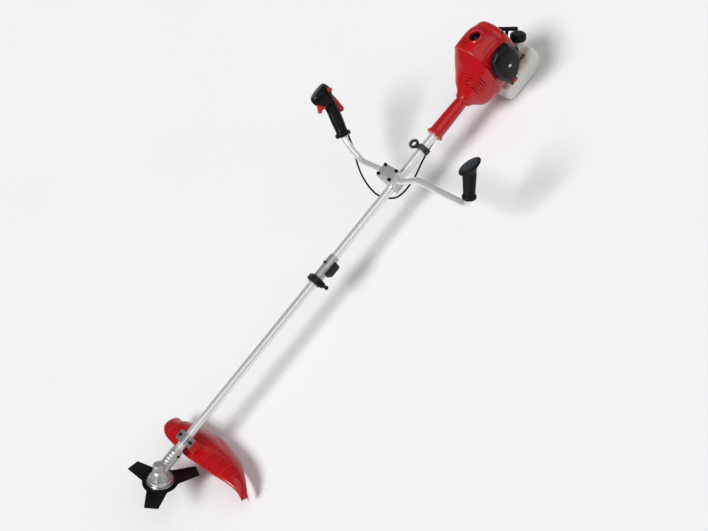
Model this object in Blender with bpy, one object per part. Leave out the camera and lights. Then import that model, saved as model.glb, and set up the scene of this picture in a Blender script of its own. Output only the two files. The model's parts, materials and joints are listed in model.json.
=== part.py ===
"""Brush cutter with a split shaft, bull handlebars and a two-stroke engine.

Sizes below are in millimetres and are turned into metres where a mesh is made.
Machine frame: the origin lies on the shaft axis at the front end of the rear grip,
+X runs along the shaft from the blade to the engine, +Y is the operator's right, +Z is up.
The machine lies on the floor, on its fuel tank and on the rear edge of its guard.
"""
import math

import bmesh
import bpy
from mathutils import Matrix, Vector

MM = 0.001
GAP = 0.3

# Rest position
SHAFT_HEIGHT = 135.0
REST_FACE_X = 318.0

# Shaft and its split
TUBE_R = 13.0
TUBE_WALL = 1.5
BORE_R = TUBE_R + GAP
DRIVE_R = 4.0
HEAD_X = -1281.0
SPLIT_X = -496.0
SLEEVE_FRONT_X = -575.0
SLEEVE_REAR_X = -470.0
TUBE_REAR_X = 158.0

# Gear head: the blade axis leans forward from the shaft's vertical
HEAD_TILT = 34.7
BLADE_Z = -35.0
BLADE_R = 115.0
BLADE_HUB_R = 54.0
BLADE_THICK = 1.6
ARBOR_R = 5.0

# Guard, in the head's frame with heights above the blade
GUARD_WALL = 3.0
GUARD_REACH = 208.5
GUARD_DROP = 38.0
GUARD_SKIRT_LOW = (
    (math.sin(math.radians(HEAD_TILT)) * GUARD_REACH - SHAFT_HEIGHT) / math.cos(math.radians(HEAD_TILT)) - BLADE_Z
)

# Handlebar
BAR_R = 10.0
BAR_X = -182.0
BAR_Z = 45.0
BAR_LEAN = 35.0

# Engine
CYLINDER_X = 286.0
COWL_WALL = 3.0
TANK_WALL = 3.0

COLOURS = {
    "red_plastic": ((0.56, 0.010, 0.018), 0.28, 0.0),
    "black_plastic": ((0.012, 0.012, 0.014), 0.45, 0.0),
    "black_rubber": ((0.015, 0.016, 0.018), 0.7, 0.0),
    "black_steel": ((0.02, 0.02, 0.022), 0.4, 0.6),
    "bare_steel": ((0.55, 0.55, 0.56), 0.35, 1.0),
    "anodised_tube": ((0.80, 0.80, 0.81), 0.35, 0.7),
    "cast_aluminium": ((0.55, 0.52, 0.50), 0.5, 0.8),
    "tank_plastic": ((0.86, 0.86, 0.82), 0.4, 0.0),
    "filter_foam": ((0.05, 0.05, 0.05), 0.95, 0.0),
    "white_ceramic": ((0.85, 0.84, 0.80), 0.3, 0.0),
}


def material(name):
    """One Principled material for each finish, made the first time it is asked for."""
    if name in bpy.data.materials:
        return bpy.data.materials[name]
    made = bpy.data.materials.new(name)
    made.use_nodes = True
    colour, roughness, metallic = COLOURS[name]
    shader = made.node_tree.nodes["Principled BSDF"]
    shader.inputs["Base Color"].default_value = (*colour, 1.0)
    shader.inputs["Roughness"].default_value = roughness
    shader.inputs["Metallic"].default_value = metallic
    return made


def empty(name, parent=None, origin=(0, 0, 0), turn=None):
    """A reference frame: origin in millimetres and a 3 by 3 rotation."""
    marker = bpy.data.objects.new(name, None)
    bpy.context.scene.collection.objects.link(marker)
    marker.parent = parent
    rotation = (turn or Matrix.Identity(3)).to_4x4()
    marker.matrix_local = Matrix.Translation(Vector(origin) * MM) @ rotation
    return marker


def axes(z, x):
    """Rotation whose local Z is z and whose local X is as near x as it can be."""
    up = Vector(z).normalized()
    side = up.cross(Vector(x)).normalized()
    front = side.cross(up)
    return Matrix((front, side, up)).transposed()


def circle(radius, steps, height=0.0, start=0.0, centre=(0, 0)):
    """Points of a circle, anticlockwise."""
    points = []
    for step in range(steps):
        angle = start + step * math.tau / steps
        x = centre[0] + radius * math.cos(angle)
        y = centre[1] + radius * math.sin(angle)
        points.append((x, y, height))
    return points


def bridge(bm, lower, upper):
    """Faces between two rings of the same size, either of which may be one point."""
    count = max(len(lower), len(upper))
    for step in range(count):
        after = (step + 1) % count
        if len(lower) == 1:
            bm.faces.new((lower[0], upper[step], upper[after]))
        elif len(upper) == 1:
            bm.faces.new((lower[step], upper[0], lower[after]))
        else:
            bm.faces.new((lower[step], upper[step], upper[after], lower[after]))


def loft(sections, closed=False):
    """Skin over rings of points; open ends get flat caps."""
    bm = bmesh.new()
    rings = [[bm.verts.new(point) for point in section] for section in sections]
    for lower, upper in zip(rings, rings[1:]):
        bridge(bm, lower, upper)
    if closed:
        bridge(bm, rings[-1], rings[0])
    else:
        for ring in (rings[0], rings[-1]):
            if len(ring) > 1:
                bm.faces.new(ring)
    return bm


def lathe(profile, steps=24, closed=False):
    """Turned shape about local Z from (radius, height) pairs; closed makes a ring."""
    sections = []
    for radius, height in profile:
        if radius < 0.01:
            sections.append([(0, 0, height)])
        else:
            sections.append(circle(radius, steps, height))
    return loft(sections, closed)


def along_z(outline, low, high):
    return loft([[(x, y, low) for x, y in outline], [(x, y, high) for x, y in outline]])


def along_y(outline, low, high):
    return loft([[(x, low, z) for x, z in outline], [(x, high, z) for x, z in outline]])


def along_x(outline, low, high):
    return loft([[(low, y, z) for y, z in outline], [(high, y, z) for y, z in outline]])


def block(x, y, z):
    """Box from three (low, high) pairs."""
    outline = [(x[0], y[0]), (x[1], y[0]), (x[1], y[1]), (x[0], y[1])]
    return along_z(outline, *z)


def rod(start, end, radius, steps=16, end_radius=None):
    """Round bar or cone between two points."""
    axis = Vector(end) - Vector(start)
    side = (0, 0, 1) if abs(axis.normalized().z) < 0.9 else (1, 0, 0)
    place = Matrix.Translation(Vector(start)) @ axes(axis, side).to_4x4()
    bm = lathe([(radius, 0), (end_radius or radius, axis.length)], steps)
    bmesh.ops.transform(bm, matrix=place, verts=bm.verts)
    return bm


def piece(name, bm, finish, parent, sharp=40):
    """Turn a bmesh in millimetres into a named object in metres."""
    bmesh.ops.recalc_face_normals(bm, faces=bm.faces)
    bmesh.ops.scale(bm, vec=(MM, MM, MM), verts=bm.verts)
    mesh = bpy.data.meshes.new(name)
    bm.to_mesh(mesh)
    bm.free()
    mesh.materials.append(material(finish))
    mesh.shade_smooth()
    mesh.set_sharp_from_angle(angle=math.radians(sharp))
    made = bpy.data.objects.new(name, mesh)
    bpy.context.scene.collection.objects.link(made)
    made.parent = parent
    return made


def combine(target, bm, operation="DIFFERENCE", parent=None):
    """Cut, join or trim a piece with another shape given in the same frame."""
    count = len(target.modifiers)
    tool = piece(f"{target.name}_tool_{count}", bm, "bare_steel", parent or target.parent)
    tool.hide_render = True
    tool.display_type = "WIRE"
    step = target.modifiers.new(f"{operation.lower()}_{count}", "BOOLEAN")
    step.operation = operation
    step.solver = "EXACT"
    step.object = tool
    return target


def inset(outline, distance):
    """Move a closed outline inwards by a wall thickness (anticlockwise outlines)."""
    moved = []
    count = len(outline)
    for index in range(count):
        before = Vector(outline[index - 1])
        here = Vector(outline[index])
        after = Vector(outline[(index + 1) % count])
        first = (here - before).normalized()
        second = (after - here).normalized()
        inward = Vector((-first.y - second.y, first.x + second.x)).normalized()
        share = max(0.4, inward.dot(Vector((-first.y, first.x))))
        moved.append(tuple(here + inward * distance / share))
    return moved


def smooth_route(points, spacing):
    """Evenly spaced points on a Catmull-Rom curve through the given ones."""
    knots = [Vector(point) for point in points]
    knots = [2 * knots[0] - knots[1], *knots, 2 * knots[-1] - knots[-2]]
    dense = []
    for a, b, c, d in zip(knots, knots[1:], knots[2:], knots[3:]):
        for step in range(20):
            t = step / 20
            point = 2 * b + (c - a) * t
            point += (2 * a - 5 * b + 4 * c - d) * t * t
            point += (3 * b - 3 * c + d - a) * t * t * t
            dense.append(point / 2)
    dense.append(knots[-2])
    route = [dense[0]]
    for point in dense:
        if (point - route[-1]).length >= spacing:
            route.append(point)
    if (dense[-1] - route[-1]).length < spacing * 0.5:
        route.pop()
    route.append(dense[-1])
    return route


def bent(corners, step_degrees=15):
    """Polyline whose inner corners (x, y, radius) become arcs."""
    points = [Vector(corners[0][:2])]
    for before, here, after in zip(corners, corners[1:], corners[2:]):
        corner = Vector(here[:2])
        back = (Vector(before[:2]) - corner).normalized()
        ahead = (Vector(after[:2]) - corner).normalized()
        half = back.angle(ahead) / 2
        bisector = (back + ahead).normalized()
        centre = corner + bisector * here[2] / math.sin(half)
        start = corner + back * here[2] / math.tan(half)
        sweep = math.pi - 2 * half
        spin = (start - centre)
        turn = 1.0 if back.cross(ahead) < 0 else -1.0
        count = max(2, round(math.degrees(sweep) / step_degrees))
        for step in range(count + 1):
            angle = turn * sweep * step / count
            points.append(centre + Matrix.Rotation(angle, 2) @ spin)
    points.append(Vector(corners[-1][:2]))
    return points


# Gear head ------------------------------------------------------------------

def cutting_blade(head):
    """Three-arm blade: a round hub with tapering arms, centred on the arbor."""
    outline = []
    for arm in range(3):
        middle = 102.5 + 120 * arm
        corners = ((BLADE_HUB_R + 2, -33), (BLADE_R, -10.5), (BLADE_R, 10.5), (BLADE_HUB_R + 2, 33))
        hub = ((BLADE_HUB_R, 45), (BLADE_HUB_R, 60), (BLADE_HUB_R, 75))
        for radius, offset in corners + hub:
            angle = math.radians(middle + offset)
            outline.append((radius * math.cos(angle), radius * math.sin(angle)))
    low = BLADE_Z - BLADE_THICK / 2
    blade = piece("cutting_blade", along_z(outline, low, low + BLADE_THICK), "black_steel", head)
    combine(blade, rod((0, 0, low - 5), (0, 0, low + 8), ARBOR_R + GAP, 20))


def blade_holders(head):
    top = BLADE_Z + BLADE_THICK / 2 + GAP
    bottom = BLADE_Z - BLADE_THICK / 2 - GAP
    bore = ARBOR_R + GAP
    flange = [(bore, top), (40, top), (41, top + 2.5), (38.5, top + 4.5), (31, top + 7.3), (bore, top + 7.3)]
    piece("blade_flange", lathe(flange, 36, True), "bare_steel", head)
    washer = [(bore, bottom - 2.5), (23, bottom - 2.5), (24, bottom), (bore, bottom)]
    piece("blade_washer", lathe(washer, 24, True), "bare_steel", head)
    nut_top = bottom - 2.5 - GAP
    nut = piece("blade_nut", lathe([(9, nut_top - 8), (9, nut_top)], 6), "bare_steel", head)
    combine(nut, rod((0, 0, nut_top - 12), (0, 0, nut_top + 5), bore, 16))


def output_train(head):
    """Arbor, its bevel gear and the bearing that carries them."""
    shaft = [(ARBOR_R, -52), (ARBOR_R, -1.9)]
    piece("output_shaft", lathe(shaft, 16), "bare_steel", head)
    gear = [(ARBOR_R + GAP, -9.6), (15.0, -9.6), (16.1, -4.0), (9.3, -2.5), (ARBOR_R + GAP, -2.5)]
    piece("output_bevel_gear", lathe(gear, 26, True), "bare_steel", head)
    bearing = [(ARBOR_R + GAP, -18.9), (17.9, -18.9), (17.9, -10.0), (ARBOR_R + GAP, -10.0)]
    piece("output_bearing", lathe(bearing, 24, True), "bare_steel", head)


def gear_case(head, shaft):
    """Ribbed casting: a domed bowl over the gears and a neck for the shaft tube."""
    bowl = [
        (36, -25.8), (37, -23), (35, -20.5), (28, -18.5), (25, -10), (23, -1),
        (20.5, 6), (17.8, 11), (17.3, 26), (15, 31), (10, 33), (0, 33.5),
    ]
    case = piece("gear_case", lathe(bowl, 28), "cast_aluminium", head)
    combine(case, rod((HEAD_X, 0, 0), (HEAD_X + 87, 0, 0), 18, 24, 16.6), "UNION", shaft.parent)
    cavity = [(18.2, -30), (18.2, 2), (13, 8), (6, 11)]
    combine(case, lathe(cavity, 28))
    combine(case, rod((HEAD_X + 5, 0, 0), (HEAD_X + 95, 0, 0), BORE_R, 24), parent=shaft.parent)
    machine = shaft.parent
    for side in (-1, 1):
        start = (HEAD_X + 69, side * 8, 0)
        combine(case, rod(start, (HEAD_X + 69, side * 30, 0), 2.8, 12), parent=machine)


def input_train(shaft):
    """Pinion on the shaft's end, with a blind socket for the drive shaft."""
    x = HEAD_X
    pinion = [
        (0, x + 6.8), (7.0, x + 6.8), (11.8, x + 11.3), (10.5, x + 15.5), (6, x + 16.5),
        (6, x + 32), (DRIVE_R + GAP, x + 32), (DRIVE_R + GAP, x + 22), (0, x + 22),
    ]
    piece("input_pinion", lathe(pinion, 24), "bare_steel", shaft)


# Guard ----------------------------------------------------------------------

GUARD_STATIONS = (
    # lateral, front edge, rear edge, deck rise, lowest skirt height
    (146, 126, 156, 3, 50), (138, 112, 165, 8, 44), (120, 100, 166, 12, 34), (104, 94, 177, 15, 22),
    (86, 91, 186, 17, 16), (50, 89, 192, 19, GUARD_SKIRT_LOW), (20, 88, 200, 20, GUARD_SKIRT_LOW),
    (-15, 88, 206, 20, GUARD_SKIRT_LOW), (-59, 94, 203, 20, GUARD_SKIRT_LOW),
    (-97, 98, 198, 19, GUARD_SKIRT_LOW), (-128, 102, 193, 17, GUARD_SKIRT_LOW),
    (-155, 108, 184, 15, 15), (-180, 114, 173, 12, 14), (-203, 120, 161, 8, 12),
    (-222, 123, 150, 4, 8), (-236, 122, 143, -4, 4),
)


def debris_guard(guard):
    """Curved deck with a skirt along its rear edge, and a pad for the bracket."""
    bm = bmesh.new()
    rows = []
    for lateral, front, rear, rise, low in GUARD_STATIONS:
        base = 60 - GUARD_DROP * (abs(lateral) / 236) ** 8
        row = [(front - 1, base - 7), (front, base)]
        for part in (0.25, 0.5, 0.75):
            row.append((front + (rear - front) * part, base + rise * math.sin(math.pi * part) ** 0.7))
        row += [(rear - 2, base + 1), (rear + 1, base - 8), (rear + 2, (base + low) / 2 - 4), (rear + 2.5, low)]
        rows.append([bm.verts.new((x, lateral, height)) for x, height in row])
    for first, second in zip(rows, rows[1:]):
        for step in range(len(first) - 1):
            bm.faces.new((first[step], first[step + 1], second[step + 1], second[step]))
    shell = piece("debris_guard", bm, "red_plastic", guard, 60)
    if shell.data.polygons[0].normal.z + shell.data.polygons[3].normal.z < 0:
        shell.data.flip_normals()
    wall = shell.modifiers.new("wall", "SOLIDIFY")
    wall.thickness = GUARD_WALL * MM
    wall.offset = -1.0
    combine(shell, block((97, 137), (-36, 36), (62, 79.7)), "UNION")


def guard_bracket(machine):
    """Clamp plate over the tube and the guard's moulded saddle under it."""
    front = HEAD_X + 106
    rear = HEAD_X + 136
    tilt = math.radians(HEAD_TILT)
    lows = []
    for x in (rear, front):
        drop = (45 - math.sin(tilt) * (x - HEAD_X)) / math.cos(tilt)
        lows.append((x, drop))
    side = [(front, -GAP), *reversed(lows), (rear, -GAP)]
    lower = piece("guard_clamp_lower", along_y(side, -34, 34), "red_plastic", machine)
    combine(lower, rod((front - 10, 0, 0), (rear + 10, 0, 0), BORE_R, 24))
    outline = [(-34, GAP), (-34, 4.5), (-17, 4.5)]
    for degrees in range(165, 14, -15):
        angle = math.radians(degrees)
        outline.append((17.5 * math.cos(angle), 17.5 * math.sin(angle)))
    outline += [(17, 4.5), (34, 4.5), (34, GAP)]
    for degrees in range(1, 180, 178 // 12):
        angle = math.radians(max(1.3, min(178.7, degrees)))
        outline.append((BORE_R * math.cos(angle), BORE_R * math.sin(angle)))
    upper = piece("guard_clamp_upper", along_x(outline, front, rear), "bare_steel", machine)
    middle = (front + rear) / 2
    for y in (-25, 25):
        combine(upper, rod((middle, y, -5), (middle, y, 10), 2.9, 12))
        combine(lower, rod((middle, y, -14), (middle, y, 5), 2.9, 12))


# Shaft ----------------------------------------------------------------------

def tube(name, shaft, start, end):
    inner = TUBE_R - TUBE_WALL
    wall = [(inner, start), (TUBE_R, start), (TUBE_R, end), (inner, end)]
    piece(name, lathe(wall, 24, True), "anodised_tube", shaft)


def drive_shafts(shaft):
    """Solid rods; the upper one has a socket that the lower one plugs into."""
    socket = SPLIT_X - 14
    lower = [(DRIVE_R, HEAD_X + 22.4), (DRIVE_R, socket - GAP)]
    piece("lower_drive_shaft", lathe(lower, 16), "bare_steel", shaft)
    upper = [
        (0, socket), (DRIVE_R + GAP, socket), (DRIVE_R + GAP, socket - 20), (7.5, socket - 20),
        (7.5, socket + 8), (DRIVE_R, socket + 12), (DRIVE_R, 171.6), (0, 171.6),
    ]
    piece("upper_drive_shaft", lathe(upper, 16), "bare_steel", shaft)


def coupling(machine, shaft):
    """Sleeve fixed to the upper tube that the lower tube slides into."""
    front = SLEEVE_FRONT_X
    rear = SLEEVE_REAR_X
    wall = [
        (BORE_R, front), (17.6, front), (17.6, front + 6), (16.4, front + 8), (16.4, rear - 10),
        (15.6, rear - 8), (15.6, rear), (BORE_R, rear),
    ]
    sleeve = piece("coupling_sleeve", lathe(wall, 24, True), "cast_aluminium", shaft)
    pin_x = front + 72
    combine(sleeve, rod((pin_x, 0, 5), (pin_x, 0, 25), 2.9, 12), parent=machine)
    collar = [(17.9, front + 3), (21, front + 3), (21, front + 25), (17.9, front + 25)]
    ring = piece("coupling_collar", lathe(collar, 24, True), "black_plastic", shaft)
    combine(ring, block((front + 5, front + 23), (-31, -19.6), (-9, 7)), "UNION", machine)
    combine(ring, block((front + 5, front + 23), (19.6, 27), (-8, 8)), "UNION", machine)
    combine(ring, rod((front + 14, -40, -1), (front + 14, -24, -1), 2.9, 12), parent=machine)
    side = [
        (front + 42, -17.2), (front + 92, -17.2), (front + 90, -27), (front + 84, -30), (front + 52, -30),
    ]
    jaw = along_z(side, -13, 5)
    piece("coupling_cover", jaw, "black_plastic", machine)


def coupling_knob(machine):
    """Ball knob on a screw that tightens the collar; it turns about its own axis."""
    seat = empty(
        "coupling_knob_axis", machine, (SLEEVE_FRONT_X + 14, -31.3, -1), axes((0, -1, 0), (1, 0, 0))
    )
    profile = [(2.5, -6.5), (2.5, 9), (4.5, 11), (6.5, 15), (6.5, 18), (4.5, 22), (2, 23.2)]
    piece("coupling_knob", lathe(profile, 16), "black_plastic", seat)


def locking_pin(machine):
    """Spring pin that drops through the sleeve on to the lower tube."""
    seat = empty("locking_pin_axis", machine, (SLEEVE_FRONT_X + 72, 0, 13.5), None)
    profile = [(2.5, 0), (2.5, 7), (4.2, 7), (4.2, 10), (3.4, 11.5)]
    piece("locking_pin", lathe(profile, 12), "black_steel", seat)


# Handlebar ------------------------------------------------------------------

def bar_plane(machine):
    """Frame in which the bar lies: local X is +Y, local Y leans back, on the bar's middle."""
    lean = math.radians(BAR_LEAN)
    up = Vector((math.sin(lean), 0, math.cos(lean)))
    right = Vector((0, 1, 0))
    turn = Matrix((right, up, right.cross(up))).transposed()
    return empty("bar_plane", machine, (BAR_X, 0, BAR_Z), turn)


BAR_CORNERS = (
    # lateral, up the plane, bend radius
    (-331, 171, 0), (-336.2, 52, 25), (-120, 37, 45), (-54, 0, 30), (50, 0, 60), (122, -10, 60),
    (199.1, 22.9, 68), (270.3, 119, 0),
)


def handlebar(plane):
    """Bent tube from the left grip to the right grip."""
    middle = bent(BAR_CORNERS)
    outer = []
    inner = []
    for index, point in enumerate(middle):
        before = middle[max(index - 1, 0)]
        after = middle[min(index + 1, len(middle) - 1)]
        heading = (after - before).normalized()
        side = Vector((-heading.y, heading.x, 0))
        for radius, rings in ((BAR_R, outer), (BAR_R - 1.5, inner)):
            ring = []
            for step in range(12):
                angle = step * math.tau / 12
                offset = side * radius * math.cos(angle) + Vector((0, 0, radius * math.sin(angle)))
                ring.append(Vector((point.x, point.y, 0)) + offset)
            rings.append(ring)
    piece("handlebar", loft(outer + inner[::-1], True), "anodised_tube", plane)


def handlebar_clamp(machine):
    """Block round the shaft tube, a cap over the bar and four bolts through both."""
    half_x = 23
    half_y = 31
    x = (BAR_X - half_x, BAR_X + half_x)
    base = piece("bar_clamp_base", block(x, (-half_y, half_y), (-17, BAR_Z - GAP)), "cast_aluminium", machine)
    combine(base, rod((x[0] - 5, 0, 0), (x[1] + 5, 0, 0), BORE_R, 24))
    for side in (-1, 1):
        near, far = sorted((side * 18, side * 40))
        combine(base, block((x[0] - 5, x[1] + 5), (near, far), (-20, 24)))
    across = ((BAR_X, -half_y - 5, BAR_Z), (BAR_X, half_y + 5, BAR_Z))
    combine(base, rod(*across, BAR_R + 0.5, 20))
    top = [
        (x[0], BAR_Z + GAP), (x[1], BAR_Z + GAP), (x[1], BAR_Z + 7), (BAR_X + 12, BAR_Z + 14),
        (BAR_X - 12, BAR_Z + 14), (x[0], BAR_Z + 7),
    ]
    cap = piece("bar_clamp_cap", along_y(top, -half_y, half_y), "cast_aluminium", machine)
    combine(cap, rod(*across, BAR_R + 0.5, 20))
    names = iter(("front_left", "front_right", "rear_left", "rear_right"))
    for bolt_x in (BAR_X - 17, BAR_X + 17):
        for bolt_y in (-24, 24):
            for target in (base, cap):
                combine(target, rod((bolt_x, bolt_y, 12), (bolt_x, bolt_y, 70), 2.9, 12))
            bolt = lathe([(2.5, 18), (2.5, BAR_Z + 14.3), (5.2, BAR_Z + 14.3), (5.2, BAR_Z + 20)], 12)
            bmesh.ops.translate(bolt, vec=(bolt_x, bolt_y, 0), verts=bolt.verts)
            piece(f"bar_bolt_{next(names)}", bolt, "black_steel", machine)


# The left grip's end disc is slanted: how steeply, and towards which side of the grip
CAP_SLOPE = 0.65
CAP_LEAN = (-0.763, 0.644)


def left_grip(plane):
    """Rubber grip with a wide slanted end disc."""
    foot = Vector((-335.1, 77, 0))
    axis = Vector((-331, 171, 0)) - foot
    seat = empty("left_grip_axis", plane, foot, axes(axis, (0, 0, 1)))
    bore = BAR_R + GAP
    profile = [
        (0, 94.8), (bore, 94.8), (bore, 0), (17, 0), (21, 3), (21, 9), (17.5, 14), (18.5, 40),
        (19.5, 70), (20.5, 88), (28, 96), (31, 100), (31, 104), (27, 107), (0, 107.5),
    ]
    grip = lathe(profile, 22)
    for vertex in grip.verts:
        x, y, z = vertex.co
        if math.hypot(x, y) > bore + 1:
            share = max(0.0, min(1.0, (z - 80) / 8))
            vertex.co.z -= share * CAP_SLOPE * (CAP_LEAN[0] * x + CAP_LEAN[1] * y)
    piece("left_grip", grip, "black_rubber", seat)


def right_grip_frame(plane):
    """Origin where the bar enters the grip, Z up the bar, X forwards (towards the fingers)."""
    foot = Vector((214, 43, 0))
    axis = Vector((270.3, 119, 0)) - foot
    return empty("right_grip_axis", plane, foot, axes(axis, (0, 0, -1)))


GRIP_SECTIONS = (
    # centre forward, centre height, half length, half width, tilt in degrees
    (0, -6, 21, 21, 0), (0, -3, 24, 24, 0), (0, 7, 24, 24, 0), (0, 12, 18, 17.5, 0), (0, 45, 20, 17.5, 0),
    (1, 78, 19.5, 17, 0), (3, 100, 21, 18, 12), (9, 116, 29, 22, 26), (15, 129, 37, 26, 30),
    (24, 144, 38, 27, 30), (28, 152, 33, 22, 30),
)


def grip_solid():
    sections = []
    for centre_x, centre_z, half_x, half_y, tilt in GRIP_SECTIONS:
        lean = math.radians(tilt)
        ring = []
        for x, y, _ in circle(1.0, 20):
            ring.append((
                centre_x + x * half_x * math.cos(lean), y * half_y, centre_z - x * half_x * math.sin(lean)
            ))
        sections.append(ring)
    return loft(sections)


def right_grip(grip):
    """Two half shells round the bar with slots for the trigger, lock and switch."""
    for name, side in (("inner", 1), ("outer", -1)):
        half = piece(f"right_grip_{name}", grip_solid(), "black_plastic", grip)
        near, far = sorted((side * 0.15, side * 60))
        combine(half, block((-80, 90), (near, far), (-40, 200)), "INTERSECT")
        combine(half, rod((0, 0, -20), (0, 0, 95), BAR_R + GAP, 20))
        combine(half, block((10.8, 70), (-5.5, 5.5), (79, 124)))
        combine(half, block((-60, -10.8), (-5.5, 5.5), (58, 126)))
        if side > 0:
            combine(half, block((-8, 12), (19.5, 40), (134, 147)))


def throttle_trigger(grip):
    """Finger lever that pivots under the hood of the grip."""
    pivot = Vector((21, 0, 113))
    seat = empty("throttle_trigger_axis", grip, pivot)
    outline = [(14, 112), (22, 120), (35, 118), (46, 108), (51, 87), (45, 84), (37, 92), (25, 92), (16, 99)]
    local = [(x - pivot.x, z - pivot.z) for x, z in outline]
    piece("throttle_trigger", along_y(local, -4.8, 4.8), "red_plastic", seat)


def throttle_lock(grip):
    """Palm lever at the back of the grip that has to be squeezed before the trigger."""
    pivot = Vector((-15, 0, 119))
    seat = empty("throttle_lock_axis", grip, pivot)
    outline = [
        (-13, 122), (-19, 123), (-27, 104), (-38, 74), (-31, 67), (-22, 66), (-21, 80), (-19, 100), (-13, 113),
    ]
    local = [(x - pivot.x, z - pivot.z) for x, z in outline]
    piece("throttle_lock", along_y(local, -4.8, 4.8), "red_plastic", seat)


def stop_switch(grip):
    """Slide switch that stops the engine."""
    seat = empty("stop_switch_axis", grip, (2, 22, 140.5))
    piece("stop_switch", block((-9, 4), (-2, 6.5), (-5.5, 5.5)), "red_plastic", seat)


CABLE_ROUTE = (
    (-146.4, 210, 66), (-150, 205.5, 61), (-156.6, 198, 52), (-166, 184, 42), (-178, 171, 33),
    (-189, 160, 23), (-201, 147, 12), (-215, 126, 0), (-227, 100, -10), (-236, 68, -18), (-238, 36, -23),
    (-229, 6, -26), (-214, -16, -27), (-192, -25, -27), (-165, -27, -26), (-132, -24, -24.5),
    (-106, -18, -22.5), (-80, -11, -21), (-62, -7, -20.6), (-42, -3, -20.4), (-24, -1, -18.6),
    (-8, 0, -17.2), (1.6, 0, -17),
)


def throttle_cable(machine):
    """Throttle cable and stop wires in one sleeve, held at both ends."""
    route = smooth_route(CABLE_ROUTE, 11.0)
    curve = bpy.data.curves.new("throttle_cable", "CURVE")
    curve.dimensions = "3D"
    curve.bevel_depth = 3.0 * MM
    curve.bevel_resolution = 2
    curve.use_fill_caps = True
    curve.resolution_u = 1
    curve.render_resolution_u = 0
    spline = curve.splines.new("POLY")
    spline.points.add(len(route) - 1)
    for knot, point in zip(spline.points, route):
        knot.co = (*(point * MM), 1.0)
    curve.materials.append(material("black_rubber"))
    made = bpy.data.objects.new("throttle_cable", curve)
    bpy.context.scene.collection.objects.link(made)
    made.parent = machine


def harness_lug(machine, shaft):
    """Band round the tube with the eye that the harness hook goes into."""
    x = -52.0
    band = [(BORE_R, x - 9), (16.5, x - 9), (16.5, x + 9), (BORE_R, x + 9)]
    lug = piece("harness_lug", lathe(band, 24, True), "black_steel", shaft)
    eye = [(x - 8, 14.6), (x - 8, 20), (x - 15, 30)]
    for degrees in range(200, -21, -20):
        angle = math.radians(degrees)
        eye.append((x + 16 * math.cos(angle), 36 + 16 * math.sin(angle)))
    eye += [(x + 15, 30), (x + 8, 20), (x + 8, 14.6)]
    combine(lug, along_z(eye, 2.5, 7.5), "UNION", machine)
    combine(lug, block((x - 7, x + 7), (-25, -14.6), (-5, 5)), "UNION", machine)
    combine(lug, rod((x, 36, -5), (x, 36, 20), 7.5, 16), parent=machine)


# Engine ---------------------------------------------------------------------

def rear_grip(shaft):
    """Handle sleeve over the tube in front of the engine."""
    profile = [
        (BORE_R, 2), (25, 2), (27, 4), (27, 9), (22.5, 14), (21.5, 60), (20.5, 100), (19.6, 136),
        (BORE_R, 136),
    ]
    piece("rear_grip", lathe(profile, 24, True), "red_plastic", shaft)


COWL_SHAPE = (
    # across from -1 (left) to 1 (right), up from 0 (bottom) to 1 (top), anticlockwise
    (-0.45, 0.0), (0.45, 0.0), (0.82, 0.06), (1.0, 0.25), (1.0, 0.62), (0.84, 0.88), (0.5, 1.0),
    (-0.1, 1.0), (-0.55, 0.92), (-0.86, 0.78), (-1.0, 0.58), (-1.0, 0.26), (-0.84, 0.07),
)
COWL_STATIONS = (
    # station, left, right, bottom, top
    (138, -21, 21, -21, 21), (152, -29, 26, -27, 30), (170, -48, 44, -43.5, 48), (190, -60, 54, -47, 70),
    (214, -68, 64, -50, 103), (234, -71, 70, -53, 127), (243, -66, 72, -53, 133), (300, -66, 72, -53, 133),
    (332, -63, 69, -52, 122),
)


def cowl_outline(left, right, bottom, top):
    middle = (left + right) / 2
    half = (right - left) / 2
    return [(middle + u * half, bottom + v * (top - bottom)) for u, v in COWL_SHAPE]


def engine_cowl(machine):
    """Red shroud from the grip to the starter, open at both ends."""
    outer = []
    inner = []
    for x, *sides in COWL_STATIONS:
        outline = cowl_outline(*sides)
        outer.append([(x, y, z) for y, z in outline])
        inner.append([(x, y, z) for y, z in inset(outline, COWL_WALL)])
    first = [(137, y, z) for _, y, z in inner[0]]
    last = [(334, y, z) for _, y, z in inner[-1]]
    cowl = piece("engine_cowl", loft(outer), "red_plastic", machine, 30)
    combine(cowl, loft([first, *inner, last]))
    combine(cowl, rod((288, 5, 100), (288, 5, 140), 17, 24))
    for foot in ((266, 282), (316, 330)):
        combine(cowl, block(foot, (-22, 22), (-64.6, -50.5)), "UNION")


def clutch(shaft):
    """Housing on the tube and the drum that drives the shaft."""
    housing = [
        (BORE_R, 142), (17, 142), (18, 156), (36.5, 172), (38, 202), (34.5, 202), (34.5, 175),
        (9, 175), (9, TUBE_REAR_X + GAP), (BORE_R, TUBE_REAR_X + GAP),
    ]
    piece("clutch_housing", lathe(housing, 28, True), "cast_aluminium", shaft)
    drum = [
        (0, 172), (DRIVE_R + GAP, 172), (DRIVE_R + GAP, 161), (7, 161), (7, 177), (31, 177),
        (31, 199), (28.5, 199), (28.5, 180), (0, 180),
    ]
    piece("clutch_drum", lathe(drum, 28), "bare_steel", shaft)


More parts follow.
